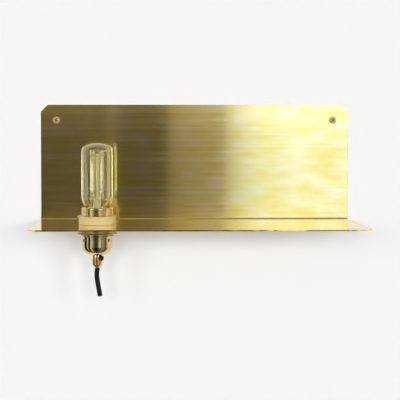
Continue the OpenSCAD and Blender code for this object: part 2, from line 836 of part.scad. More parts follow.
module button(z, angles) {
    difference() {
        translate([0, 0, z - button_h / 2]) cylinder(r = button_out_r, h = button_h);
        for (a = angles) rotate(a) translate([wire_in_r, 0, z]) rotate([0, 90, 0])
            cylinder(d = wire_d + 2 * run_gap, h = button_out_r);
    }
}

function upper_angles() = [for (i = [0:cage_count - 1]) -(i + 0.5) * wire_step];
function lower_angles() = [for (i = [1:cage_count - 1]) -i * wire_step];

// The glass rod that carries the cage, with a button round each star of wires
module filament_rod() {
    low = lower_cage_z + button_h / 2;
    high = cage_z - button_h / 2;
    color(glass) at_lamp() {
        translate([0, 0, rod_z]) cylinder(d = rod_d, h = lower_cage_z - button_h / 2 - rod_z);
        button(lower_cage_z, lower_angles());
        translate([0, 0, low]) cylinder(d = rod_d, h = high - low);
        button(cage_z, upper_angles());
        translate([0, 0, high + button_h])
            cylinder(d = rod_d, h = rod_top - high - button_h);
    }
}

// One wire runs down to the bulb's contact and the other to its screw cap. Above the pinch
// they spread to neighbouring places on the cage
module lead_wires() {
    wall_end = bulb_neck_r - 0.3;
    color(steel) at_lamp() {
        route_tube([
            [0, 0, insulator_z], [0, 0, glass_z - 4], [lead_gap, 0, glass_z + 2],
            [lead_gap, 0, rod_z], [lead_gap + 1, 0, rod_z + 1.5],
            [lead_out_r - 1, 0, lead_z - 1], [lead_out_r, 0, lead_z]
        ], wire_d / 2, 8);
        route_tube([
            [-wall_end, 0, glass_z - 2], [3 - wall_end, 0, glass_z - 2.4],
            [-lead_gap - 2, 0, glass_z - 1.6], [-lead_gap, 0, glass_z + 2],
            [-lead_gap, 0, rod_z], [-lead_gap - 0.3, 0.8, rod_z + 1.2],
            [-1, 4, rod_z + 3.5],
            [(lead_out_r - 1) * cos(wire_step), (lead_out_r - 1) * sin(wire_step), lead_z - 1],
            [lead_out_r * cos(wire_step), lead_out_r * sin(wire_step), lead_z]
        ], wire_d / 2, 8);
    }
}

module upper_supports() {
    hook_r = cage_d / 2;
    color(steel) at_lamp() for (a = upper_angles()) rotate(a)
        route_tube([
            [wire_in_r, 0, cage_z], [button_out_r + 0.5, 0, cage_z],
            [hook_r - 2, 0, cage_z + 0.8], [hook_r - 0.5, 0, cage_z + 0.4],
            [hook_r, 0, cage_z - 0.5]
        ], wire_d / 2, 8);
}

module lower_supports() {
    color(steel) at_lamp() for (a = lower_angles()) rotate(a)
        route_tube([
            [wire_in_r, 0, lower_cage_z], [button_out_r + 0.5, 0, lower_cage_z],
            [lead_out_r - 1, 0, lead_z - 1.2], [lead_out_r, 0, lead_z]
        ], wire_d / 2, 8);
}

// The filament zigzags between the two stars, from one lead wire round to the other
module filament() {
    low_z = lead_z + wire_d / 2 + run_gap;
    high_z = cage_z - 0.5 - 2 * run_gap;
    high_r = cage_d / 2;
    route = [
        for (i = [0:2 * cage_count])
            let (a = -i * wire_step / 2, low = i % 2 == 0)
            [
                (low ? lead_out_r : high_r) * cos(a),
                (low ? lead_out_r : high_r) * sin(a),
                low ? low_z : high_z
            ]
    ];
    color("dimgray") at_lamp() route_tube(route, filament_d / 2, 6);
}

shelf_bracket();
wall_screws();
upper_shade_ring();
lower_shade_ring();
threaded_skirt();
holder_cap();
cap_lock_screws();
ceramic_insert();
screw_shell();
shell_rivets();
centre_contact();
contact_rivets();
live_terminal();
neutral_terminal();
earth_terminal();
earth_strip();
terminal_screws();
cord_grip();
grip_screw();
grip_knob();
cord_in_grip();
cord_free();
live_core();
neutral_core();
earth_core();
bulb_contact();
bulb_insulator();
bulb_screw_cap();
bulb_glass();
bulb_stem();
filament_rod();
lead_wires();
upper_supports();
lower_supports();
filament();
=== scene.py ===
# Wall lamp with a shelf: one bent brass sheet, a threaded lampholder clamped between two shade
# rings, a clear filament bulb and a short fabric-covered cord
import bpy
import math
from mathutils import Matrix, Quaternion, Vector


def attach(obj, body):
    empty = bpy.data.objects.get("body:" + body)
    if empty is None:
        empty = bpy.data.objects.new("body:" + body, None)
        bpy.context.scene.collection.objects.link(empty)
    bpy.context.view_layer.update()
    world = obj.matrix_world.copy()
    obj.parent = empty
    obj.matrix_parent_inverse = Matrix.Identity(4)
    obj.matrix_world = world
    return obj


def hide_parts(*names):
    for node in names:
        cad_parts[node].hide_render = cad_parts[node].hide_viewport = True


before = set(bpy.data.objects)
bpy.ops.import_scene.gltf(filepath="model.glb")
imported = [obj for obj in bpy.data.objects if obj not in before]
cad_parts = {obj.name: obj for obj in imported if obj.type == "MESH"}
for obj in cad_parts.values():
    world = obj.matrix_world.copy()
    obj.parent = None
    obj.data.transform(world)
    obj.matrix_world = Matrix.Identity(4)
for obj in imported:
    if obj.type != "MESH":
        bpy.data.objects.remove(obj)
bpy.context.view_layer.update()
scene = bpy.context.scene
mm = 0.001
lampFoot = Vector((-0.1235, -0.0725, -0.1285))  # the lampholder's axis at the top of the shelf

# Camera, fitted to the corners of the plate and the shelf
shot = {
    "place": (-0.0617, -1.2578, -0.0167),
    "tiltDown": 1.6,
    "turnRight": 1.0,
    "lens": 86.84,
    "shift": (0.0893, -0.1002),
}
bpy.ops.object.camera_add(
    location=shot["place"],
    rotation=(math.radians(90 - shot["tiltDown"]), 0, -math.radians(shot["turnRight"])),
)
scene.camera = bpy.context.object
scene.camera.data.lens = shot["lens"]
scene.camera.data.shift_x, scene.camera.data.shift_y = shot["shift"]
print("camera stands")


def pickUp(piece):  # selects this piece and nothing else
    bpy.ops.object.select_all(action="DESELECT")
    piece.select_set(True)
    bpy.context.view_layer.objects.active = piece


def drawLine(name, points):  # one point, extruded from place to place
    points = [Vector(p) for p in points]
    bpy.ops.object.select_all(action="DESELECT")
    bpy.ops.mesh.primitive_plane_add(size=mm, location=points[0])
    line = bpy.context.object
    line.name = line.data.name = name
    bpy.ops.object.mode_set(mode="EDIT")
    bpy.ops.mesh.merge(type="CENTER")
    for here, there in zip(points, points[1:]):
        bpy.ops.mesh.extrude_region_move(TRANSFORM_OT_translate={"value": there - here})
    bpy.ops.object.mode_set(mode="OBJECT")
    bpy.ops.object.transform_apply(location=True, rotation=False, scale=False)
    return line


def soften(corners, steps=4):  # corners (radius, height, rounding) in mm, as a closed outline
    outline = []
    for i, (r, h, rounding) in enumerate(corners):
        here = Vector((r, h))
        before = Vector(corners[i - 1][:2]) - here
        after = Vector(corners[(i + 1) % len(corners)][:2]) - here
        if not rounding:
            outline.append(here)
            continue
        slope = math.tan(before.angle(after) / 2)
        reach = min(rounding / slope, 0.45 * before.length, 0.45 * after.length)
        start = here + before.normalized() * reach
        end = here + after.normalized() * reach
        for k in range(steps + 1):
            t = k / steps
            outline.append((1 - t) ** 2 * start + 2 * t * (1 - t) * here + t ** 2 * end)
    return outline


# Points on part of a circle, or of an ellipse this tall, between two angles from the outside
def arc(middleR, middleH, radius, start, end, steps=8, tall=None):
    turns = [math.radians(start + (end - start) * i / steps) for i in range(steps + 1)]
    tall = tall or radius
    return [(middleR + radius * math.cos(a), middleH + tall * math.sin(a)) for a in turns]


# Spins an outline (radius, height) in mm. An open one has its ends on the axis
def turnOnLathe(name, outline, foot=lampFoot, up=(0, 0, 1), out=(1, 0, 0), sides=96, closed=True):
    up, out = Vector(up).normalized(), Vector(out).normalized()
    points = [foot + (out * p[0] + up * p[1]) * mm for p in outline]
    piece = drawLine(name, points + points[:1] if closed else points)
    pickUp(piece)
    bpy.ops.object.mode_set(mode="EDIT")
    bpy.ops.mesh.select_all(action="SELECT")
    bpy.ops.mesh.remove_doubles(threshold=1e-6)
    bpy.ops.mesh.spin(steps=sides, angle=math.tau, center=foot, axis=up)
    bpy.ops.mesh.select_all(action="SELECT")
    bpy.ops.mesh.remove_doubles(threshold=1e-6)
    bpy.ops.mesh.normals_make_consistent(inside=False)
    bpy.ops.object.mode_set(mode="OBJECT")
    bpy.ops.object.shade_smooth_by_angle(angle=math.radians(35))
    return piece


# Sinks the lathe's rings along a helix between two heights, and fades the thread out at its ends.
# A higher sharp narrows the crests, a crest above 1 flattens them, and inner spares the bore
def cutThread(piece, foot, up, pitch, depth, low, high, fade, inner=0, sharp=1, crest=1):
    up = Vector(up).normalized()
    side = up.orthogonal().normalized()
    across = up.cross(side)
    for v in piece.data.vertices:
        away = v.co - foot
        h = away.dot(up) / mm
        flat = away - up * away.dot(up)
        if not low < h < high or flat.length < inner * mm:
            continue
        angle = math.atan2(flat.dot(across), flat.dot(side))
        wave = 0.5 + 0.5 * math.cos(math.tau * h / pitch - angle)
        strength = min(1, (h - low) / fade, (high - h) / fade)
        v.co += flat.normalized() * depth * mm * strength * (min(1, crest * wave ** sharp) - 1)


def cutSlot(piece, middle, turn, size):  # a block of this size is cut away
    bpy.ops.object.select_all(action="DESELECT")
    bpy.ops.mesh.primitive_cube_add(size=1, location=middle)
    block = bpy.context.object
    block.scale, block.rotation_mode, block.rotation_quaternion = size, "QUATERNION", turn
    pickUp(piece)
    cut = piece.modifiers.new("slot", "BOOLEAN")
    cut.object, cut.operation, cut.solver = block, "DIFFERENCE", "EXACT"
    bpy.ops.object.modifier_apply(modifier="slot")
    bpy.data.objects.remove(block)
    bpy.ops.object.shade_smooth_by_angle(angle=math.radians(35))


def bendWire(name, points, thick, sides=2, smooth=True):  # a round wire through points
    line = drawLine(name, points)
    pickUp(line)
    bpy.ops.object.convert(target="CURVE")
    wire = bpy.context.object
    if smooth:
        bpy.ops.object.mode_set(mode="EDIT")
        bpy.ops.curve.select_all(action="SELECT")
        bpy.ops.curve.spline_type_set(type="NURBS")
        bpy.ops.object.mode_set(mode="OBJECT")
        spline = wire.data.splines[0]
        spline.order_u = 3
        spline.use_endpoint_u = True
        spline.resolution_u = 6
    wire.data.bevel_depth = thick / 2
    wire.data.bevel_resolution = sides
    wire.data.use_fill_caps = True
    bpy.ops.object.convert(target="MESH")
    wire = bpy.context.object
    bpy.ops.object.mode_set(mode="EDIT")
    bpy.ops.mesh.select_all(action="SELECT")
    bpy.ops.mesh.remove_doubles(threshold=1e-6)
    bpy.ops.mesh.normals_make_consistent(inside=False)
    bpy.ops.object.mode_set(mode="OBJECT")
    bpy.ops.object.shade_smooth_by_angle(angle=math.radians(50))
    return wire


def joinUp(name, parts):
    pickUp(parts[0])
    for part in parts[1:]:
        part.select_set(True)
    bpy.ops.object.join()
    piece = bpy.context.object
    piece.name = piece.data.name = name
    return piece


def fitOut(piece, body, nodes, material):  # nodes are the CAD nodes that it stands for
    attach(piece, body)
    if nodes:
        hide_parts(*nodes)
    piece.data.materials.clear()
    piece.data.materials.append(material)


def offAxis(x, y, z):  # a place as seen from the lampholder's foot, in mm
    return lampFoot + Vector((x, y, z)) * mm


def atLamp(r, angle, h):  # the same, by its radius and its angle from +X in degrees
    turn = math.radians(angle)
    return offAxis(r * math.cos(turn), r * math.sin(turn), h)


def setInputs(tree, node, inputs):  # another node's result is linked, any other value is set
    for key, value in inputs.items():
        if isinstance(value, bpy.types.NodeSocket):
            tree.links.new(value, node.inputs[key])
        else:
            node.inputs[key].default_value = value


def addNode(tree, kind, inputs=None, **settings):
    node = tree.nodes.new("ShaderNode" + kind)
    for key, value in settings.items():
        setattr(node, key, value)
    setInputs(tree, node, inputs or {})
    return node


def startMaterial(name, inputs=None):
    material = bpy.data.materials.new(name)
    material.use_nodes = True
    tree = material.node_tree
    shader = tree.nodes["Principled BSDF"]
    setInputs(tree, shader, inputs or {})
    place = addNode(tree, "TexCoord").outputs["Object"]
    return material, tree, shader, place


def setSurface(tree, shader):  # in place of the material's first shader
    tree.links.new(shader.outputs[0], tree.nodes["Material Output"].inputs["Surface"])


def noise(tree, place, size, detail=2.0, rough=0.5):  # size is the pattern's grain in mm
    scaled = addNode(tree, "Mapping", {0: place, "Scale": [1000 / s for s in size]})
    return addNode(tree, "TexNoise", {"Vector": scaled.outputs[0], "Scale": 1.0, "Detail": detail,
                                      "Roughness": rough}).outputs["Fac"]


def spread(tree, value, low, high, fromLow=0.3, fromHigh=0.7):  # most noise is within 0.3..0.7
    return addNode(tree, "MapRange", {0: value, 1: fromLow, 2: fromHigh, 3: low,
                                      4: high}).outputs[0]


def calculate(tree, operation, *values):
    return addNode(tree, "Math", dict(enumerate(values)), operation=operation).outputs[0]


def scaleColour(tree, colour, factor):
    return addNode(tree, "VectorMath", {0: colour, "Scale": factor}, operation="SCALE").outputs[0]


def blendColours(tree, share, first, second):
    first, second = [colour if isinstance(colour, bpy.types.NodeSocket) else (*colour, 1)
                     for colour in (first, second)]
    return addNode(tree, "Mix", {0: share, 6: first, 7: second}, data_type="RGBA").outputs[2]


def mixShaders(tree, share, first, second):
    return addNode(tree, "MixShader", {0: share, 1: first.outputs[0], 2: second.outputs[0]})


def addBump(tree, height, strength, depth):  # depth in mm
    return addNode(tree, "Bump", {"Height": height, "Strength": strength,
                                  "Distance": depth * mm}).outputs[0]


def showMirrored(tree, shader):  # seen once the ray has been reflected, else clear
    mirrored = addNode(tree, "LightPath").outputs["Glossy Depth"]
    mirrored = calculate(tree, "GREATER_THAN", mirrored, 0.5)
    setSurface(tree, mixShaders(tree, mirrored, addNode(tree, "BsdfTransparent"), shader))


# Brushed sheet, yellow with pale clouds, with the grain along X and darker brown patches along its
# front edge
def sheetBrass():
    look = {"cream": (0.95, 0.80, 0.45), "yellow": (0.89, 0.70, 0.22), "roughness": 0.11,
            "uneven": 0.03, "streaks": 0.07, "anisotropy": 0.75, "clouds": (38, 17, 17),
            "fine": (120, 1.1, 1.1), "broad": (300, 6, 6), "frontEdgeColour": (0.30, 0.24, 0.12),
            "frontEdgeBand": (-149.6, -149.3), "patches": (45, 500, 500)}
    material, tree, shader, place = startMaterial("brushed_brass", {
        "Metallic": 1.0, "Anisotropic": look["anisotropy"]})
    clouds = noise(tree, place, look["clouds"], 3)
    fine = noise(tree, place, look["fine"])
    grain = calculate(tree, "ADD", fine, noise(tree, place, look["broad"]))  # 1 on average
    colour = blendColours(tree, spread(tree, clouds, 0, 1), look["yellow"], look["cream"])
    front, back = look["frontEdgeBand"]
    edge = addNode(tree, "SeparateXYZ", {0: place}).outputs["Y"]
    edge = spread(tree, edge, 1, 0, front * mm, back * mm)
    patches = spread(tree, noise(tree, place, look["patches"], 3, 0.7), 0, 1, 0.45, 0.55)
    colour = blendColours(tree, calculate(tree, "MULTIPLY", edge, patches), colour,
                          look["frontEdgeColour"])
    shade = spread(tree, grain, 1 - look["streaks"], 1, 0.7, 1.3)
    facing = addNode(tree, "NewGeometry").outputs["Normal"]
    setInputs(tree, shader, {
        "Base Color": scaleColour(tree, colour, shade),
        "Roughness": spread(tree, grain, look["roughness"] - look["uneven"],
                            look["roughness"] + look["uneven"], 0.7, 1.3),
        "Tangent": addNode(tree, "VectorMath", {0: (1, 0, 0), 1: facing},
                           operation="CROSS_PRODUCT").outputs[0],
        "Normal": addBump(tree, fine, 0.25, 0.01)})
    return material


# Metal turned on a lathe, with fine rings round the lampholder's axis
def turnedMetal(name, light, dark, roughness, rings=0.3, metallic=1.0):
    look = {"ringGrain": (0.5, 0.5, 1), "stains": (7, 7, 5), "ringDeep": 0.01}
    material, tree, shader, place = startMaterial(name, {"Metallic": metallic})
    centred = addNode(tree, "Mapping", {0: place, "Location": -lampFoot}).outputs[0]
    flat = addNode(tree, "VectorMath", {0: centred, 1: (1, 1, 0)}, operation="MULTIPLY").outputs[0]
    radius = addNode(tree, "VectorMath", {0: flat}, operation="LENGTH").outputs["Value"]
    height = addNode(tree, "SeparateXYZ", {0: centred}).outputs["Z"]
    ringed = addNode(tree, "CombineXYZ", {0: radius, 1: height}).outputs[0]
    fine = noise(tree, ringed, look["ringGrain"], 3)
    stains = noise(tree, place, look["stains"], 3)
    setInputs(tree, shader, {
        "Base Color": blendColours(tree, spread(tree, stains, 0, 1), dark, light),
        "Roughness": spread(tree, fine, roughness * 0.8, roughness * 1.25),
        "Normal": addBump(tree, fine, rings, look["ringDeep"])})
    return material


# Small parts: metal, ceramic or plastic with a slightly uneven tone and surface. The last argument,
# in mm, darkens what is closer than that to the faces around it: painted shade in recesses and
# where parts meet, also standing for grime there
def plainFinish(name, light, dark, roughness, metallic=0.0, grain=1.0, grimeAndShade=0):
    look = {"tone": 4, "fine": 0.6, "recessDarkest": 0.06, "fineDeep": 0.02}
    material, tree, shader, place = startMaterial(name, {"Metallic": metallic})
    tone = noise(tree, place, (grain * look["tone"],) * 3, 3)
    fine = noise(tree, place, (grain * look["fine"],) * 3, 3)
    colour = blendColours(tree, spread(tree, tone, 0, 1), dark, light)
    if grimeAndShade:
        # Painted shade: ambient occlusion darkens the colour in recesses and at contacts
        cleanAndLit = addNode(tree, "AmbientOcclusion", {"Distance": grimeAndShade * mm}).outputs["AO"]
        cleanAndLit = spread(tree, cleanAndLit, look["recessDarkest"], 1, 0.4, 0.85)
        colour = scaleColour(tree, colour, cleanAndLit)
    setInputs(tree, shader, {
        "Base Color": colour,
        "Roughness": spread(tree, fine, roughness * 0.85, min(1, roughness * 1.2)),
        "Normal": addBump(tree, fine, 0.4, look["fineDeep"])})
    return material


# Clear glass, slightly milky, under a thin lustre film that is stronger where the glass curves
# away. Its shadow is a pale tint
def clearGlass(name, tint, roughness=0.0, film=0.045, haze=0.012):
    look = {"filmTint": (1.0, 0.93, 0.60), "filmRoughness": 0.03, "filmAtEdge": 7,
            "waves": (14, 14, 40), "waveDeep": 0.04}
    material, tree, shader, place = startMaterial(name, {
        "IOR": 1.47, "Roughness": roughness, "Transmission Weight": 1.0})
    waves = noise(tree, place, look["waves"], 0)
    bumps = addBump(tree, waves, 0.2, look["waveDeep"])
    deeper = [c * 0.97 for c in tint]
    setInputs(tree, shader, {
        "Base Color": blendColours(tree, spread(tree, waves, 0, 1), tint, deeper),
        "Normal": bumps})
    lustre = addNode(tree, "BsdfAnisotropic", {
        "Color": (*look["filmTint"], 1), "Roughness": roughness + look["filmRoughness"],
        "Normal": bumps})
    edge = addNode(tree, "LayerWeight", {"Blend": 0.25}).outputs["Facing"]
    share = spread(tree, edge, film, film * look["filmAtEdge"], 0.65, 0.9)
    milky = addNode(tree, "BsdfDiffuse", {"Color": (*tint, 1)})
    body = mixShaders(tree, haze, mixShaders(tree, share, shader, lustre), milky)
    path = addNode(tree, "LightPath").outputs
    passing = calculate(tree, "MAXIMUM", path["Is Shadow Ray"], path["Is Diffuse Ray"])
    through = addNode(tree, "BsdfTransparent", {"Color": (*tint, 1)})
    setSurface(tree, mixShaders(tree, passing, body, through))
    return material


# Woven cover: two sets of strands that cross, counted round and along the cord
def braidedFabric():
    look = {"strands": 12, "rows": 26, "colour": (0.008, 0.007, 0.007),
            "lit": (0.024, 0.022, 0.021)}
    material, tree, shader, place = startMaterial("braided_fabric", {
        "Roughness": 0.85, "Sheen Weight": 0.1, "Sheen Roughness": 0.4})
    weave = addNode(tree, "UVMap", uv_map="UVMap").outputs[0]
    parts = addNode(tree, "SeparateXYZ", {0: weave}).outputs
    around = calculate(tree, "MULTIPLY", parts["Y"], look["strands"] * math.pi)
    along = calculate(tree, "MULTIPLY", parts["X"], look["rows"] * math.pi)
    oneWay = calculate(tree, "SINE", calculate(tree, "ADD", around, along))
    otherWay = calculate(tree, "SINE", calculate(tree, "SUBTRACT", around, along))
    height = calculate(tree, "ABSOLUTE", calculate(tree, "MULTIPLY", oneWay, otherWay))
    setInputs(tree, shader, {
        "Base Color": blendColours(tree, height, look["colour"], look["lit"]),
        "Normal": addBump(tree, height, 0.8, 0.3)})
    return material


brushedBrass = sheetBrass()
ringBrass = turnedMetal("satin_brass", (1.0, 0.82, 0.40), (0.96, 0.77, 0.35), 0.5, 0.3, 0.3)
polishedBrass = turnedMetal("polished_brass", (0.78, 0.62, 0.30), (0.66, 0.49, 0.21), 0.06, 0.12)
# Painted shade: the ring below the shelf gets a darker copy of the ring brass, for the shade the
# shelf casts on it
shadedLowerRingBrass = turnedMetal("shaded_lower_ring_brass", (0.66, 0.53, 0.27), (0.44, 0.34, 0.16), 0.4, 0.5)
screwBrass = plainFinish("screw_brass", (0.98, 0.70, 0.34), (0.88, 0.56, 0.24), 0.4, 0.5,
                         grimeAndShade=4)
# Painted reflection: the right wall screw gets its own, differently toned copy of the screw brass,
# for how it mirrors darker surroundings
darkScrewBrass = plainFinish("dark_screw_brass", (1.0, 0.86, 0.36), (0.80, 0.58, 0.17), 0.35,
                             0.3, grimeAndShade=3)
terminalBrass = plainFinish("terminal_brass", (0.80, 0.64, 0.34), (0.70, 0.54, 0.26), 0.3, 1.0)
bronze = plainFinish("contact_bronze", (0.80, 0.52, 0.33), (0.68, 0.42, 0.24), 0.28, 1.0)
bulbCapBrass = turnedMetal("bulb_cap_brass", (0.80, 0.73, 0.45), (0.70, 0.63, 0.36), 0.3)
steel = plainFinish("screw_steel", (0.46, 0.48, 0.52), (0.34, 0.37, 0.42), 0.25, 1.0)
solder = plainFinish("solder", (0.70, 0.70, 0.71), (0.55, 0.55, 0.57), 0.38, 1.0)
supportWire = plainFinish("support_wire", (0.55, 0.52, 0.42), (0.42, 0.40, 0.32), 0.35, 1.0)
filamentWire = plainFinish("filament_wire", (0.16, 0.15, 0.15), (0.10, 0.09, 0.09), 0.5, 1.0)
ceramic = plainFinish("white_ceramic", (0.82, 0.80, 0.75), (0.76, 0.73, 0.67), 0.25, 0.0, 2.0)
blackGlass = plainFinish("black_glass", (0.02, 0.02, 0.022), (0.012, 0.012, 0.014), 0.12)
blackPlastic = plainFinish("black_plastic", (0.008, 0.007, 0.007), (0.005, 0.005, 0.005), 0.65)
coreBrown = plainFinish("core_brown", (0.16, 0.06, 0.025), (0.12, 0.045, 0.02), 0.45)
coreBlue = plainFinish("core_blue", (0.03, 0.12, 0.42), (0.02, 0.09, 0.34), 0.45)
coreGreen = plainFinish("core_green", (0.42, 0.46, 0.04), (0.08, 0.30, 0.06), 0.45, 0.0, 0.8)
copper = plainFinish("bare_copper", (0.85, 0.45, 0.28), (0.72, 0.34, 0.2), 0.3, 1.0)
bulbGlass = clearGlass("bulb_glass", (0.985, 0.965, 0.80))
stemGlass = clearGlass("stem_glass", (0.97, 0.94, 0.76), 0.02, 0.15, 0.35)
cordFabric = braidedFabric()
print("materials are mixed")

# Cord: the CAD's route, from inside the grip's mouth to its cut end
cord = {
    "diameter": 6 * mm,
    "top": Vector((-0.1235, -0.0725, -0.1664)),  # the cap's floor on the axis
    "route": [  # right, down in mm
        (0, 13), (0, 16), (-0.2, 19), (-0.5, 22), (-0.6, 24.5), (-0.5, 27), (-0.3, 29.5),
        (0.1, 32), (0.5, 34.5), (0.9, 37), (1.3, 39.5), (1.8, 42), (2.3, 45), (2.8, 48), (3.3, 51),
    ],
    "coreSize": 1.9, "copperSize": 1.2,
    "coreOut": 1.35,  # from the cord's middle
    "proud": 0.5,  # past the cover's cut end
}
cordPath = [cord["top"] + Vector((right, 0, -down)) * mm for right, down in cord["route"]]
cordPiece = bendWire("cord", cordPath, cord["diameter"], 6)
fitOut(cordPiece, "holder", ["cord_free"], cordFabric)
cordEnd, cordWay = cordPath[-1], (cordPath[-1] - cordPath[-2]).normalized()
core, bare, proud = cord["coreSize"] / 2, cord["copperSize"] / 2, cord["proud"]
skin = soften([(0, -1, 0), (core, -1, 0), (core, proud, 0.15), (bare, proud, 0),
               (bare, proud - 0.2, 0), (0, proud - 0.2, 0)], 3)
wire = soften([(0, -1, 0), (bare - 0.03, -1, 0), (bare - 0.03, proud + 0.1, 0.2),
               (0, proud + 0.1, 0)], 3)
coreEnds = []
for name, turn, colour in (("brown", 90, coreBrown), ("blue", 210, coreBlue),
                           ("green", 330, coreGreen)):
    a = math.radians(turn)
    foot = cordEnd + Vector((math.cos(a), math.sin(a), 0)) * cord["coreOut"] * mm
    shell = turnOnLathe("core_end_" + name, skin, foot, cordWay, (0, 1, 0), 24)
    fitOut(shell, "holder", [], colour)
    strands = turnOnLathe("copper_end_" + name, wire, foot, cordWay, (0, 1, 0), 16)
    fitOut(strands, "holder", [], copper)
    coreEnds += [shell, strands]

# Bent sheet: a merged copy of the CAD's, with its cut edges broken
sheet = {"edge": 0.3 * mm, "steps": 2}
pickUp(bpy.data.objects["shelf_bracket"])
bpy.ops.object.duplicate()
bracket = bpy.context.object
bracket.name = bracket.data.name = "bent_sheet"
bpy.ops.object.mode_set(mode="EDIT")
bpy.ops.mesh.select_all(action="SELECT")
bpy.ops.mesh.remove_doubles(threshold=1e-6)
bpy.ops.mesh.dissolve_limited(angle_limit=math.radians(0.5))
bpy.ops.object.mode_set(mode="OBJECT")
bevel = bracket.modifiers.new("edges", "BEVEL")
bevel.width, bevel.segments, bevel.angle_limit = sheet["edge"], sheet["steps"], math.radians(40)
bpy.ops.object.modifier_apply(modifier="edges")
bpy.ops.object.shade_smooth_by_angle(angle=math.radians(30))
weights = bracket.modifiers.new("flat faces", "WEIGHTED_NORMAL")
weights.keep_sharp, weights.weight = True, 100
bpy.ops.object.modifier_apply(modifier="flat faces")
fitOut(bracket, "holder", ["shelf_bracket"], brushedBrass)
print("sheet is bent")

# Wall screws: domed heads with a cross recess, coarse thread to a point
wallScrew = {"apart": 360, "sheet": 1.5, "head": 9.2, "headHigh": 2.6, "headEdge": 0.8,
             "neck": 5, "shank": 4, "plain": 8, "length": 35, "tip": 6, "pitch": 1.8,
             "threadDeep": 0.6, "crossLong": 5.06, "crossWide": 1.4, "crossDeep": 1.7,
             "crossTurn": (12, 40)}  # left and right, degrees
s = wallScrew
domeHigh = s["headHigh"] - s["headEdge"]
domeR = ((s["head"] / 2) ** 2 + domeHigh ** 2) / (2 * domeHigh)
domeEnd = math.degrees(math.asin(s["head"] / 2 / domeR))
threadLength = s["length"] - s["plain"] - s["tip"]
rings = round(threadLength / s["pitch"] * 6)
for side, turn in zip((-1, 1), s["crossTurn"]):
    foot = Vector((side * s["apart"] / 2, -s["sheet"], 0)) * mm
    dome = arc(0, s["headHigh"] - domeR, domeR, 90, 90 - domeEnd, 10)[:-1]
    shank = s["shank"] / 2
    outline = [Vector(p) for p in dome] + soften([
        (s["head"] / 2, s["headEdge"], 0.3), (s["head"] / 2, 0, 0.15), (s["neck"] / 2, 0, 0.1),
        (s["neck"] / 2, -s["sheet"], 0.05), (shank, -s["sheet"], 0.05)])[2:-2]
    outline += [Vector((shank, -s["sheet"] - 0.2)), Vector((shank, -s["plain"]))]
    outline += [Vector((shank, -s["plain"] - (i + 1) * threadLength / rings))
                for i in range(rings)]
    outline += [Vector((shank - s["threadDeep"] - 0.2, -s["length"] + s["tip"] * 0.7)),
                Vector((0.25, -s["length"] + 0.3)), Vector((0, -s["length"]))]
    screw = turnOnLathe("wall_screw_" + ("left" if side < 0 else "right"), outline, foot,
                        (0, -1, 0), sides=48, closed=False)
    cutThread(screw, foot, (0, -1, 0), s["pitch"], s["threadDeep"],
              -s["length"] + s["tip"] - 0.01, -s["plain"] + 0.01, fade=2, sharp=1.6)
    deep = s["crossDeep"] + 1
    for k in (0, 90):
        cutSlot(screw, foot + Vector((0, deep / 2 - s["headHigh"] - 1, 0)) * mm,
                Quaternion((0, 1, 0), math.radians(turn + k)),
                Vector((s["crossLong"], deep, s["crossWide"])) * mm)
    # The right screw's own brass copy is a painted reflection
    finish = screwBrass if side < 0 else darkScrewBrass
    fitOut(screw, "holder", ["wall_screws"], finish)
print("wall screws are in")

# Shade rings: a plain band with a thin lip
shadeRing = {"inside": 19.7, "band": 22.65, "lip": 24.15, "lipHigh": 1.2, "high": 10.3,
             "round": 0.7, "sheet": 1.5}
s = shadeRing
corners = [(s["inside"], 0, 0.2), (s["band"], 0, s["round"]),
           (s["band"], s["high"] - s["lipHigh"] - 0.3, 0.25),
           (s["lip"] - 0.3, s["high"] - s["lipHigh"], 0.1),
           (s["lip"], s["high"] - s["lipHigh"] + 0.15, 0.3), (s["lip"], s["high"], 0.45),
           (s["inside"], s["high"], 0.4)]
upper = turnOnLathe("shade_ring_above", soften(corners))
fitOut(upper, "holder", ["upper_shade_ring"], ringBrass)
# The ring below wears that darker brass copy: painted shade under the shelf
lower = turnOnLathe("shade_ring_below", soften([(r, -s["sheet"] - h, c) for r, h, c in corners]))
fitOut(lower, "holder", ["lower_shade_ring"], shadedLowerRingBrass)

# Skirt: its thread runs from the cap to just under the rounded rim
skirt = {"thread": 19.6, "threadDeep": 0.5, "inside": 18.2, "low": -13.5, "high": 20.5,
         "pitch": 1.5, "rim": 1.6, "rimIn": 18.5, "stop": -6.4, "stopHigh": 1.5, "stopIn": 14.8}
s = skirt
root = s["thread"] - s["threadDeep"]
threadTop = s["high"] - s["rim"] - 0.2
rings = round((threadTop - s["low"]) / s["pitch"] * 10)
outline = [(s["thread"], s["low"] + (threadTop - s["low"]) * i / rings) for i in range(rings + 1)]
outline[0] = (root, s["low"])
outline[-1] = (root, threadTop)
outline += arc(s["rimIn"], s["high"] - s["rim"], root - s["rimIn"], 0, 90, 8, s["rim"])[1:]
outline += [(s["rimIn"] - 0.2, s["high"] - 0.08), (s["inside"], s["high"] - 0.3)]
outline += [(s["inside"], s["stop"] + s["stopHigh"]), (s["stopIn"], s["stop"] + s["stopHigh"]),
            (s["stopIn"], s["stop"]), (s["inside"], s["stop"]), (s["inside"], s["low"])]
sleeve = turnOnLathe("skirt", outline, sides=120)
cutThread(sleeve, lampFoot, (0, 0, 1), s["pitch"], s["threadDeep"], s["low"] + 0.1,
          threadTop - 0.05, fade=0.8, inner=root + 0.1, crest=1.9)
fitOut(sleeve, "holder", ["threaded_skirt"], polishedBrass)
print("shade rings and skirt are on")

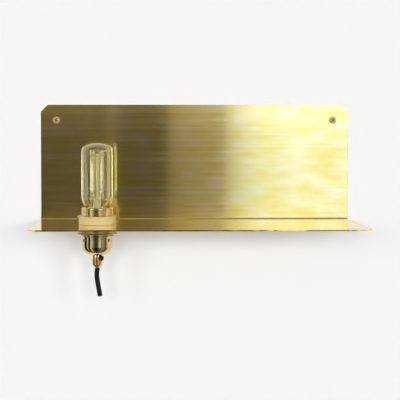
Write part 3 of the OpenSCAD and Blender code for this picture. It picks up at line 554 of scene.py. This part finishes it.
# Cap with its bead, the cord grip under it, and the grip's clamp knob
cap = {"wall": 18.75, "inside": 17.15, "low": -37.9, "floor": -36.3, "round": 11, "bead": 20.2,
       "beadLow": -14.8, "beadHigh": -13.5, "neck": 18.1, "neckHigh": -9, "ledge": -26,
       "ledgeIn": 15, "boss": 7.5, "bossHigh": -32.1, "hole": 5.05}
s = cap
outline = [(s["hole"], s["low"])]
outline += arc(s["wall"] - s["round"], s["low"] + s["round"], s["round"], -90, 0, 16)
outline += [tuple(p) for p in soften([
    (s["wall"], s["low"] + s["round"], 0), (s["wall"], s["beadLow"], 0.25),
    (s["bead"], s["beadLow"], 0.5), (s["bead"], s["beadHigh"], 0.5),
    (s["neck"], s["beadHigh"], 0), (s["neck"], s["neckHigh"], 0.2),
    (s["inside"], s["neckHigh"], 0.1), (s["inside"], s["ledge"], 0),
    (s["ledgeIn"], s["ledge"], 0)])[1:]]
inRound = s["round"] - 1.6
outline += arc(s["ledgeIn"] - inRound, s["floor"] + inRound, inRound, 0, -90, 8)
outline += [(s["boss"], s["floor"]), (s["boss"], s["bossHigh"]), (s["hole"], s["bossHigh"])]
capPiece = turnOnLathe("cap", outline)
fitOut(capPiece, "holder", ["holder_cap"], polishedBrass)

lockScrew = {"head": 4.2, "thread": 3, "headHigh": 1, "slot": 0.7, "slotDeep": 0.5,
             "fromFront": 54, "high": -19.3, "tip": 17.15, "slotTurn": (25, -35)}
s = lockScrew
back, front = cap["wall"], cap["wall"] + s["headHigh"]
foot = offAxis(0, 0, s["high"])
locks = []
for side, turn in zip((-1, 1), s["slotTurn"]):
    angle = math.radians(-90 + side * s["fromFront"])
    out = Vector((math.cos(angle), math.sin(angle), 0))
    screw = turnOnLathe("lock_screw", soften([
        (0, s["tip"], 0), (s["thread"] / 2, s["tip"], 0.2), (s["thread"] / 2, back, 0),
        (s["head"] / 2, back, 0), (s["head"] / 2, front, 0.35), (0, front, 0)]),
        foot, out, (0, 0, 1), 40)
    cutSlot(screw, foot + out * front * mm,
            Quaternion(out, math.radians(turn)) @ out.to_track_quat("X", "Z"),
            Vector((2 * s["slotDeep"], 2 * s["head"], s["slot"])) * mm)
    locks.append(screw)
locks = joinUp("lock_screws", locks)
fitOut(locks, "holder", ["cap_lock_screws"], steel)

grip = {"wide": 6.3, "mouth": 3.6, "low": -54, "taper": 4, "high": -37.9, "stub": 5,
        "stubHigh": -32.5, "bore": 3.2}
s = grip
gripPiece = turnOnLathe("cord_grip_sleeve", soften([
    (s["bore"], s["low"], 0.15), (s["mouth"] + 0.1, s["low"], 0.25),
    (s["wide"], s["low"] + s["taper"], 1.0), (s["wide"], s["high"], 0.5),
    (s["stub"], s["high"], 0), (s["stub"], s["stubHigh"], 0.3), (s["bore"], s["stubHigh"], 0.2)]))
fitOut(gripPiece, "holder", ["cord_grip"], polishedBrass)

knob = {"high": -41.5, "right": 40, "from": 6.9, "thick": 2.6, "wide": 3.25, "ridges": 18,
        "ridgeDeep": 0.16, "dish": 0.35}
s = knob
angle = math.radians(-90 + s["right"])
out = Vector((math.cos(angle), math.sin(angle), 0))
foot = offAxis(0, 0, s["high"])
back, front = s["from"], s["from"] + s["thick"]
knobPiece = turnOnLathe("clamp_knob", soften([
    (0, back, 0), (s["wide"], back, 0.5), (s["wide"], front, 0.6), (s["wide"] * 0.62, front, 0.3),
    (s["wide"] * 0.5, front - s["dish"], 0.3), (0, front - s["dish"], 0)]),
    foot, out, (0, 0, 1), s["ridges"] * 6)
side = out.orthogonal().normalized()
across = out.cross(side)
for v in knobPiece.data.vertices:
    away = v.co - foot
    flat = away - out * away.dot(out)
    if flat.length > s["wide"] * 0.9 * mm:
        turn = math.atan2(flat.dot(across), flat.dot(side))
        v.co += flat.normalized() * s["ridgeDeep"] * mm * (math.cos(s["ridges"] * turn) - 1) / 2
fitOut(knobPiece, "clamp_knob", ["grip_knob"], blackPlastic)
print("cap, grip and screws are on")

# Bulb: glass with a real wall, a flared and pinched stem, rod, support wires and filament
bulb = {"neck": 11.4, "wide": 19.4, "foot": 3.5, "neckTop": 16.5, "shoulder": 32.5,
        "domeFoot": 88.3, "dome": 12.2, "square": 2.45, "wall": 0.9, "swell": 0.9}


def bulbSide(inset):  # from the foot up to the top of the dome, which is squarer than round
    rise = [i / 14 for i in range(15)]
    turns = [math.pi / 2 * i / 20 for i in range(21)]
    reach, square = bulb["wide"] - bulb["neck"], 2 / bulb["square"]
    side = [(bulb["neck"] - inset, bulb["foot"])]
    side += [(bulb["neck"] - inset + reach * math.sin(math.pi / 2 * t ** bulb["swell"]),
              bulb["neckTop"] + t * (bulb["shoulder"] - bulb["neckTop"])) for t in rise]
    side += [((bulb["wide"] - inset) * max(0, math.cos(a)) ** square,
              bulb["domeFoot"] + (bulb["dome"] - inset) * math.sin(a) ** square) for a in turns]
    return side


glass = turnOnLathe("bulb_envelope", bulbSide(0) + bulbSide(bulb["wall"])[::-1], sides=128)
fitOut(glass, "bulb", ["bulb_glass"], bulbGlass)

stem = {"tube": 4.8, "wall": 1, "flare": 10.4, "foot": 3.5, "bell": 6.5, "bellTop": 9.5,
        "pinch": 29, "top": 33, "pinchThick": 1.6}
s = stem
stemPiece = turnOnLathe("bulb_stem_tube", [
    (0, s["pinch"] - 1), (s["tube"] - s["wall"] - 0.6, s["pinch"] - 1.6),
    (s["tube"] - s["wall"], s["pinch"] - 3), (s["tube"] - s["wall"], s["bellTop"]),
    (5, s["bell"]), (s["flare"] - s["wall"], s["foot"]), (s["flare"], s["foot"]),
    (s["flare"], s["foot"] + 0.8), (6, s["bell"]), (s["tube"], s["bellTop"]),
    (s["tube"], s["pinch"] - 3), (s["tube"], s["pinch"] - 1),
    (s["tube"] - 0.05, s["pinch"]), (s["tube"] - 0.1, s["pinch"] + 1),
    (s["tube"] - 0.2, s["top"] - 1), (s["tube"] - 0.8, s["top"] - 0.2), (0, s["top"])], sides=64)
squeeze = s["pinchThick"] / s["tube"]
for v in stemPiece.data.vertices:
    h = (v.co.z - lampFoot.z) / mm
    share = min(1, max(0, (h - s["pinch"] + 2) / 2.5))  # the pinch sets in over 2.5 mm
    v.co.y = lampFoot.y + (v.co.y - lampFoot.y) * (1 - (1 - squeeze) * share)
fitOut(stemPiece, "bulb", ["bulb_stem"], stemGlass)

rod = {"thick": 1.5, "foot": 33, "top": 86.5, "button": 2.2, "buttonHigh": 2, "low": 38,
       "high": 83.5}
s = rod
lowB, highB, halfB = s["low"], s["high"], s["buttonHigh"] / 2
rodPiece = turnOnLathe("glass_rod", soften([
    (0, s["foot"] - 0.5, 0), (s["thick"], s["foot"] - 0.5, 0), (s["thick"], lowB - halfB, 0.3),
    (s["button"], lowB - halfB, 0.6), (s["button"], lowB + halfB, 0.6),
    (s["thick"], lowB + halfB, 0.3), (s["thick"], highB - halfB, 0.3),
    (s["button"], highB - halfB, 0.6), (s["button"], highB + halfB, 0.6),
    (s["thick"], highB + halfB, 0.3), (s["thick"], s["top"], 1.0), (0, s["top"], 0)]), sides=40)
fitOut(rodPiece, "bulb", ["filament_rod"], stemGlass)

# The cage's wires leave the buttons, seven places round, and hold the zigzag at its corners
cage = {"places": 7, "upper": 10, "lower": 12, "low": 45, "wire": 0.6, "filament": 0.24,
        "leads": 2.3, "wireFrom": (1, 2.7)}  # in the button and just out of it
s = cage
step = 360 / s["places"]
rodIn, rodOut = s["wireFrom"]
wires = []
for i in range(s["places"] - 1):
    turn = -(i + 0.5) * step
    wires.append(bendWire("wire", [
        atLamp(rodIn, turn, highB), atLamp(rodOut, turn, highB),
        atLamp(s["upper"] - 2, turn, highB + 0.9), atLamp(s["upper"] - 0.3, turn, highB + 0.5),
        atLamp(s["upper"], turn, highB - 0.5)], s["wire"] * mm))
fitOut(joinUp("support_wires_above", wires), "bulb", ["upper_supports"],
       supportWire)
wires = []
for i in range(1, s["places"] - 1):
    turn = -i * step
    wires.append(bendWire("wire", [
        atLamp(rodIn, turn, lowB), atLamp(rodOut, turn, lowB),
        atLamp(s["lower"] - 1, turn, s["low"] - 1.2), atLamp(s["lower"], turn, s["low"])],
        s["wire"] * mm))
fitOut(joinUp("support_wires_below", wires), "bulb", ["lower_supports"],
       supportWire)

# One lead comes up from the bulb's contact, the other from its cap. They end at the zigzag's ends
turn = math.radians(step)
leadOut = s["lower"]
wires = [
    bendWire("wire", [offAxis(*p) for p in (
        (0, 0, -11), (0, 0, -0.5), (s["leads"], 0, 5.5), (s["leads"], 0, 33),
        (s["leads"] + 1, 0, 34.5), (leadOut - 1, 0, s["low"] - 1), (leadOut, 0, s["low"]))],
        s["wire"] * mm),
    bendWire("wire", [offAxis(*p) for p in (
        (-11.1, 0, 1.5), (-8.1, 0, 1.1), (-4.3, 0, 1.9), (-s["leads"], 0, 5.5),
        (-s["leads"], 0, 33), (-2.6, 0.8, 34.2), (-1, 4, 36.5),
        ((leadOut - 1) * math.cos(turn), (leadOut - 1) * math.sin(turn), s["low"] - 1),
        (leadOut * math.cos(turn), leadOut * math.sin(turn), s["low"]))], s["wire"] * mm),
]
fitOut(joinUp("bulb_leads", wires), "bulb", ["lead_wires"], supportWire)
zigzag = [atLamp(s["lower"] if i % 2 == 0 else s["upper"], -i * step / 2,
                 s["low"] + 0.35 if i % 2 == 0 else highB - 0.6)
          for i in range(2 * s["places"] - 1)]
fitOut(bendWire("bulb_filament", zigzag, s["filament"] * mm, 1, False), "bulb", ["filament"],
       filamentWire)

screwCap = {"thread": 13.15, "threadDeep": 1.0, "pitch": 3.629, "low": -7, "high": 9,
            "rimHigh": 15.5, "rim": 13.1, "foot": -8.2, "footOut": 11.15, "inside": 11.5,
            "wall": 1.2}
s = screwCap
rings = round((s["high"] - s["low"]) / s["pitch"] * 10)
outline = [(s["footOut"] - 0.3, s["foot"]), (s["footOut"], s["foot"])]
outline += [(s["thread"], s["low"] + (s["high"] - s["low"]) * i / rings) for i in range(rings + 1)]
outline += [(s["rim"] - 0.1, s["high"] + 0.6), (s["rim"], s["rimHigh"] - 0.2),
            (s["rim"] - 0.15, s["rimHigh"]), (s["inside"], s["rimHigh"]),
            (s["inside"], s["foot"] + s["wall"]), (s["footOut"] - 0.3, s["foot"] + s["wall"])]
shellPiece = turnOnLathe("bulb_thread_cap", outline)
half = s["threadDeep"] / 2
for v in shellPiece.data.vertices:  # the same helix as the holder's, fading at both ends
    away = v.co - lampFoot
    h, flat = away.z / mm, Vector((away.x, away.y, 0))
    if s["low"] - 0.01 < h < s["high"] + 0.01 and flat.length > (s["inside"] + 0.5) * mm:
        wave = math.cos(math.tau * h / s["pitch"] - math.atan2(flat.y, flat.x))
        fade = max(0, min(1, h - s["low"], s["high"] - h))
        plain = -half if h < 0 else half - 0.05  # narrow below, nearly full at the rim
        reach = s["thread"] - half + half * wave * fade + plain * (1 - fade)
        v.co = lampFoot + flat.normalized() * reach * mm + Vector((0, 0, away.z))
fitOut(shellPiece, "bulb", ["bulb_screw_cap"], bulbCapBrass)
print("bulb is blown")

# The CAD's own solids get the finishes too, those that stay and those that are replaced
finishes = {
    "ceramic_insert": ceramic, "screw_shell": bronze, "shell_rivets": terminalBrass,
    "centre_contact": bronze, "contact_rivets": terminalBrass, "live_terminal": terminalBrass,
    "neutral_terminal": terminalBrass, "earth_terminal": terminalBrass, "earth_strip": bronze,
    "terminal_screws": steel, "grip_screw": steel, "cord_in_grip": cordFabric,
    "live_core": coreBrown, "neutral_core": coreBlue, "earth_core": coreGreen,
    "bulb_contact": solder, "bulb_insulator": blackGlass,
    "shelf_bracket": brushedBrass, "wall_screws": screwBrass, "upper_shade_ring": ringBrass,
    "lower_shade_ring": shadedLowerRingBrass, "threaded_skirt": polishedBrass, "holder_cap": polishedBrass,
    "cap_lock_screws": steel, "cord_grip": polishedBrass, "grip_knob": blackPlastic,
    "cord_free": cordFabric, "bulb_screw_cap": bulbCapBrass, "bulb_glass": bulbGlass,
    "bulb_stem": stemGlass, "filament_rod": stemGlass, "lead_wires": supportWire,
    "upper_supports": supportWire, "lower_supports": supportWire, "filament": filamentWire,
}
for node, material in finishes.items():
    for slot in bpy.data.objects[node].material_slots:
        slot.material = material
print("inner parts are finished")


def standPlane(name, location, rotation, scale):  # for the room round the lamp
    bpy.ops.object.select_all(action="DESELECT")
    bpy.ops.mesh.primitive_plane_add(size=1, location=location, rotation=rotation)
    plane = bpy.context.object
    plane.name = name
    plane.scale = scale
    bpy.ops.object.transform_apply(location=True, rotation=True, scale=True)
    return plane


# Wall behind the lamp, which keeps its shadow. It glows slightly warm, so its shadows do too
wall = {"behind": 0.4 * mm, "size": 30, "ownLight": 0.27, "warmth": (1.0, 0.965, 0.90),
        "white": 0.923, "paint": 0.8}
upright = (math.radians(90), 0, 0)
wallPiece = standPlane("wall", (0, wall["behind"], 0), upright, (wall["size"], wall["size"], 1))
material, tree = startMaterial("wall_paint")[:2]
painted = addNode(tree, "BsdfDiffuse", {"Color": (*[wall["paint"]] * 3, 1)})
glow = addNode(tree, "Emission", {"Color": (*wall["warmth"], 1),
                                  "Strength": wall["white"] * wall["ownLight"]})
both = addNode(tree, "AddShader", {0: painted.outputs[0], 1: glow.outputs[0]})
behind = addNode(tree, "NewGeometry").outputs["Backfacing"]  # it is clear from behind
setSurface(tree, mixShaders(tree, behind, both, addNode(tree, "BsdfTransparent")))
wallPiece.data.materials.append(material)

# Studio behind the camera, seen only in the metal and the glass: soft boxes side by side with
# dark gaps, the room above them and a dark floor. Slopes are height over distance as seen from
# the lampholder, turns are degrees to the right as seen from there
studio = {
    "away": 1.3, "wide": 24.0, "high": 12.0, "floor": -3.0,
    "lamp": {"right": -0.12, "away": 1.23, "high": -0.15},  # where all this is seen from
    "bands": [  # turn, brightness
        (-80, 0.04), (-78, 0.85), (-70, 0.85), (-68, 0.03), (-53, 0.03), (-50, 0.95),
        (-38, 0.95), (-35, 0.50), (-21, 0.50), (-19, 0.05), (-10.5, 0.105), (-2.7, 0.115),
        (-2.5, 0.17), (-1.3, 0.17), (-1.1, 0.105), (5.0, 0.105), (5.6, 0.27), (12.0, 0.37),
        (12.7, 0.66), (16.5, 1.00), (21.0, 1.12), (29.0, 1.08), (31.0, 0.15), (34.0, 0.15),
        (36.0, 0.70), (41.0, 0.70), (44.0, 0.18), (51.0, 0.55), (66, 0.20), (72, 0.20),
        (78, 0.60),
    ],
    "dim": {"level": 0.3, "tint": (1.0, 0.90, 0.70)},  # bands up to this level are warm
    "bright": {"level": 0.9, "tint": (1.0, 1.17, 1.33)},  # and from this level cool
    # The room above the boxes, from one height up to another, and its levels beside the middle
    "upper": {"from": 0.055, "to": 0.17, "left": 0.5, "right": 1.3, "edge": 0.05},
    "upperTint": {"left": (1.0, 0.93, 0.72), "right": (1.0, 1.12, 1.15), "to": 0.15},
    "glow": {"from": -0.035, "to": 0.03, "level": 0.08},  # the least there is above these heights
    # How much brighter the boxes are at their tops, left and right of this stretch
    "rise": {"left": 0.95, "right": 0.36, "from": 0.1, "to": 0.4},
    "foot": {"from": -0.122, "to": -0.073, "level": 0.7},  # slopes, the boxes are dimmer below
    # They end at this slope, less so past these turns
    "end": {"slope": -0.22, "fade": 0.04, "level": 0.2, "sideLevel": 0.75, "turns": (28, 36)},
    "ceiling": {"from": 0.30, "to": 0.45, "level": 0.09},  # slopes, dark above the boxes
    "sides": {"turn": 60, "from": -0.03, "to": 0.0, "level": 0.2},  # dark beside the bulb
    "stripBoxes": {"turns": ((-47, -24), (27, 39)), "low": -0.044, "high": 0.051, "level": 2.3},
    "floorShade": (0.20, 0.18, 0.14),
}
s = studio
screen = standPlane("studio", (0, -s["away"], 0), upright, (s["wide"], s["high"], 1))
material, tree, shader, place = startMaterial("studio_light")
place = addNode(tree, "SeparateXYZ", {0: place}).outputs
right, up = place["X"], place["Z"]
fromLamp = calculate(tree, "SUBTRACT", right, s["lamp"]["right"])
turn = calculate(tree, "ARCTAN2", fromLamp, s["lamp"]["away"])
distance = addNode(tree, "CombineXYZ", {0: fromLamp, 1: s["lamp"]["away"]}).outputs[0]
distance = addNode(tree, "VectorMath", {0: distance}, operation="LENGTH").outputs["Value"]
slope = calculate(tree, "DIVIDE", calculate(tree, "SUBTRACT", up, s["lamp"]["high"]), distance)

# The bands of the boxes
ramp = addNode(tree, "ValToRGB", {0: spread(tree, turn, 0, 1, -math.pi / 2, math.pi / 2)})
stops = ramp.color_ramp.elements
stops.remove(stops[-1])
dim, bright = s["dim"], s["bright"]
for i, (at, level) in enumerate(s["bands"]):
    stop = stops[0] if i == 0 else stops.new(at / 180 + 0.5)
    share = min(1, max(0, (level - dim["level"]) / (bright["level"] - dim["level"])))
    stop.color = [level * (d + (b - d) * share) for d, b in zip(dim["tint"], bright["tint"])] + [1]

# Brighter towards the top, more so on the left
rise = spread(tree, right, 1 + s["rise"]["left"], 1 + s["rise"]["right"], s["rise"]["from"],
              s["rise"]["to"])
rise = spread(tree, up, 1, rise, s["glow"]["from"], s["upper"]["to"])

# Dimmer at the foot, and dark past the end
foot = spread(tree, slope, s["foot"]["level"], 1, s["foot"]["from"], s["foot"]["to"])
beside = calculate(tree, "ABSOLUTE", turn)
end = spread(tree, beside, s["end"]["level"], s["end"]["sideLevel"],
             *[math.radians(t) for t in s["end"]["turns"]])
end = spread(tree, slope, end, 1, s["end"]["slope"] - s["end"]["fade"], s["end"]["slope"])

# Dark far to the sides above the holder
beside = calculate(tree, "GREATER_THAN", beside, math.radians(s["sides"]["turn"]))
above = spread(tree, slope, 0, 1 - s["sides"]["level"], s["sides"]["from"], s["sides"]["to"])
above = calculate(tree, "SUBTRACT", 1.0, calculate(tree, "MULTIPLY", beside, above))
for factor in (foot, end, above):
    rise = calculate(tree, "MULTIPLY", rise, factor)
boxes = scaleColour(tree, ramp.outputs[0], rise)

# The room above the boxes, brighter on the right, and the ceiling over all
edge = s["upper"]["edge"]
roomLevel = spread(tree, right, s["upper"]["left"], s["upper"]["right"], -edge, edge)
room = spread(tree, up, 0, 1, s["upper"]["from"], s["upper"]["to"])
room = calculate(tree, "MULTIPLY", room, roomLevel)
glow = spread(tree, up, 0, s["glow"]["level"], s["glow"]["from"], s["glow"]["to"])
room = calculate(tree, "ADD", room, glow)
tint = spread(tree, right, 0, 1, 0.0, s["upperTint"]["to"])
tint = blendColours(tree, tint, s["upperTint"]["left"], s["upperTint"]["right"])
picture = addNode(tree, "VectorMath", {0: boxes, 1: scaleColour(tree, tint, room)},
                  operation="MAXIMUM").outputs[0]
ceiling = spread(tree, slope, 1, s["ceiling"]["level"], s["ceiling"]["from"], s["ceiling"]["to"])
picture = scaleColour(tree, picture, ceiling)

# Two bright upright boxes, which stripe the bulb's glass
strips = 0.0
for start, end in s["stripBoxes"]["turns"]:
    start, end = math.radians(start), math.radians(end)
    strip = calculate(tree, "COMPARE", turn, (start + end) / 2, (end - start) / 2)
    strips = calculate(tree, "ADD", strip, strips)
low, high = s["stripBoxes"]["low"], s["stripBoxes"]["high"]
level = calculate(tree, "COMPARE", slope, (low + high) / 2, (high - low) / 2)
strips = calculate(tree, "MULTIPLY", strips, level)
strips = calculate(tree, "MULTIPLY", strips, s["stripBoxes"]["level"])
picture = addNode(tree, "VectorMath", {0: picture, 1: strips}, operation="ADD").outputs[0]
showMirrored(tree, addNode(tree, "Emission", {"Color": picture, "Strength": 1.0}))
screen.data.materials.append(material)

ground = standPlane("studio_floor", (0, 0, s["floor"]), (0, 0, 0), (s["wide"], s["wide"], 1))
material, tree = startMaterial("studio_ground")[:2]
showMirrored(tree, addNode(tree, "Emission", {"Color": (*s["floorShade"], 1), "Strength": 1.0}))
ground.data.materials.append(material)

# Dark cloth to the left of the shelf and below it, seen only mirrored
flag = {"left": -0.3635, "from": -0.115, "to": -0.002, "low": -0.55, "high": -0.14,
        "tint": (1, 0.9, 0.6), "shade": 0.05}
s = flag
flagPiece = standPlane(
    "dark_flag", (s["left"], (s["from"] + s["to"]) / 2, (s["low"] + s["high"]) / 2),
    (0, math.radians(90), 0), (s["high"] - s["low"], s["to"] - s["from"], 1))
material, tree = startMaterial("flag_cloth")[:2]
showMirrored(tree, addNode(tree, "Emission", {"Color": (*s["tint"], 1), "Strength": s["shade"]}))
flagPiece.data.materials.append(material)
for part in (screen, ground, flagPiece):
    part.visible_camera = part.visible_diffuse = part.visible_shadow = False

# Light: the room's own, four soft keys side by side and a fill from above the camera, all a
# little cool against the warm wall. Camera, gloss and glass see the room at the backdrop's level
light = {"room": 0.12, "backdrop": 0.923, "tint": (0.966, 0.978, 1.0),
         "key": [{"right": -32, "up": 9, "strength": 0.36, "angle": 14},
                 {"right": -10, "up": 9, "strength": 0.68, "angle": 14},
                 {"right": 12, "up": 8.5, "strength": 0.70, "angle": 14},
                 {"right": 34, "up": 7.5, "strength": 0.58, "angle": 14}],
         "fill": [{"right": -12, "up": 20, "strength": 0.22, "angle": 50}]}
world = bpy.data.worlds.new("room")
scene.world = world
world.use_nodes = True
tree = world.node_tree
path = addNode(tree, "LightPath").outputs
shown = calculate(tree, "MAXIMUM", path["Is Camera Ray"], path["Is Glossy Ray"])
shown = calculate(tree, "MAXIMUM", shown, path["Is Transmission Ray"])
setInputs(tree, tree.nodes["Background"], {
    "Color": (1, 1, 1, 1), "Strength": spread(tree, shown, light["room"], light["backdrop"], 0, 1)})
for name in ("key", "fill"):
    for lamp in light[name]:
        bpy.ops.object.select_all(action="DESELECT")
        bpy.ops.object.light_add(type="SUN", location=(0, -1, 1))
        sun = bpy.context.object
        sun.name = name + "_light"
        a, e = math.radians(lamp["right"]), math.radians(lamp["up"])
        towards = Vector((math.sin(a) * math.cos(e), -math.cos(a) * math.cos(e), math.sin(e)))
        sun.rotation_mode = "QUATERNION"
        sun.rotation_quaternion = towards.to_track_quat("Z", "Y")
        sun.data.energy, sun.data.angle = lamp["strength"], math.radians(lamp["angle"])
        sun.data.color = light["tint"]
        sun.visible_glossy = sun.visible_transmission = False
scene.view_settings.view_transform = "Standard"
print("studio is lit")
